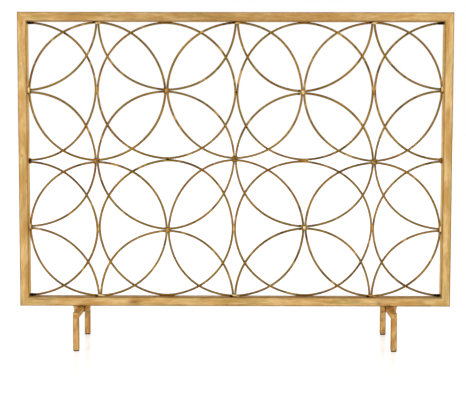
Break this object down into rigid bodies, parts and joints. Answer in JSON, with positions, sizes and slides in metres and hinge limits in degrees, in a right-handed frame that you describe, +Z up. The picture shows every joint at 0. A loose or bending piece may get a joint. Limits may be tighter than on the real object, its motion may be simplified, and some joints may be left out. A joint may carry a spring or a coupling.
{
  "type": "fireplace screen",
  "caption": "Free-standing flat fireplace screen: rectangular gilded tube frame, open grille of overlapping rings, bridge-shaped bar legs.",
  "frame": {"origin": "on the floor, under the middle of the screen's width and depth", "axes": "+Z up; the front faces -Y; +X to the right as the front is seen"},
  "size_m": [0.955, 0.21, 0.732],
  "materials": {
    "gilded_tube": "antiqued gold leaf on steel tube, satin, streaked",
    "gilded_rod": "antiqued gold leaf on round rod, mostly dark bronze patina",
    "gilded_bar": "antiqued gold leaf on square bar, satin, mottled",
    "brown_rubber": "matt",
    "bronzed_screw": "bronzed steel, satin",
    "plain_steel": "bare steel, satin"
  },
  "bodies": {
    "root": {"top_rail": "gilded_tube", "bottom_rail": "gilded_tube", "left_stile": "gilded_tube", "right_stile": "gilded_tube", "front_ring_row1_col1": "gilded_rod", "front_ring_row1_col3": "gilded_rod", "front_ring_row1_col5": "gilded_rod", "front_ring_row3_col1": "gilded_rod", "front_ring_row3_col3": "gilded_rod", "front_ring_row3_col5": "gilded_rod", "corner_arc_row0_col0": "gilded_rod", "middle_half_ring_row0_col2": "gilded_rod", "middle_half_ring_row0_col4": "gilded_rod", "corner_arc_row0_col6": "gilded_rod", "middle_half_ring_row2_col0": "gilded_rod", "middle_ring_row2_col2": "gilded_rod", "middle_ring_row2_col4": "gilded_rod", "middle_half_ring_row2_col6": "gilded_rod", "corner_arc_row4_col0": "gilded_rod", "middle_half_ring_row4_col2": "gilded_rod", "middle_half_ring_row4_col4": "gilded_rod", "corner_arc_row4_col6": "gilded_rod", "back_half_ring_row1_col0": "gilded_rod", "back_ring_row1_col2": "gilded_rod", "back_ring_row1_col4": "gilded_rod", "back_half_ring_row1_col6": "gilded_rod", "back_half_ring_row3_col0": "gilded_rod", "back_ring_row3_col2": "gilded_rod", "back_ring_row3_col4": "gilded_rod", "back_half_ring_row3_col6": "gilded_rod", "left_leg_top_bar": "gilded_bar", "left_leg_front_post": "gilded_bar", "left_leg_rear_post": "gilded_bar", "left_leg_front_pad": "brown_rubber", "left_leg_rear_pad": "brown_rubber", "left_leg_outer_lug": "gilded_bar", "left_leg_outer_screw": "bronzed_screw", "left_leg_outer_nut": "plain_steel", "left_leg_inner_lug": "gilded_bar", "left_leg_inner_screw": "bronzed_screw", "left_leg_inner_nut": "plain_steel", "right_leg_top_bar": "gilded_bar", "right_leg_front_post": "gilded_bar", "right_leg_rear_post": "gilded_bar", "right_leg_front_pad": "brown_rubber", "right_leg_rear_pad": "brown_rubber", "right_leg_outer_lug": "gilded_bar", "right_leg_outer_screw": "bronzed_screw", "right_leg_outer_nut": "plain_steel", "right_leg_inner_lug": "gilded_bar", "right_leg_inner_screw": "bronzed_screw", "right_leg_inner_nut": "plain_steel"}
  },
  "joints": []
}
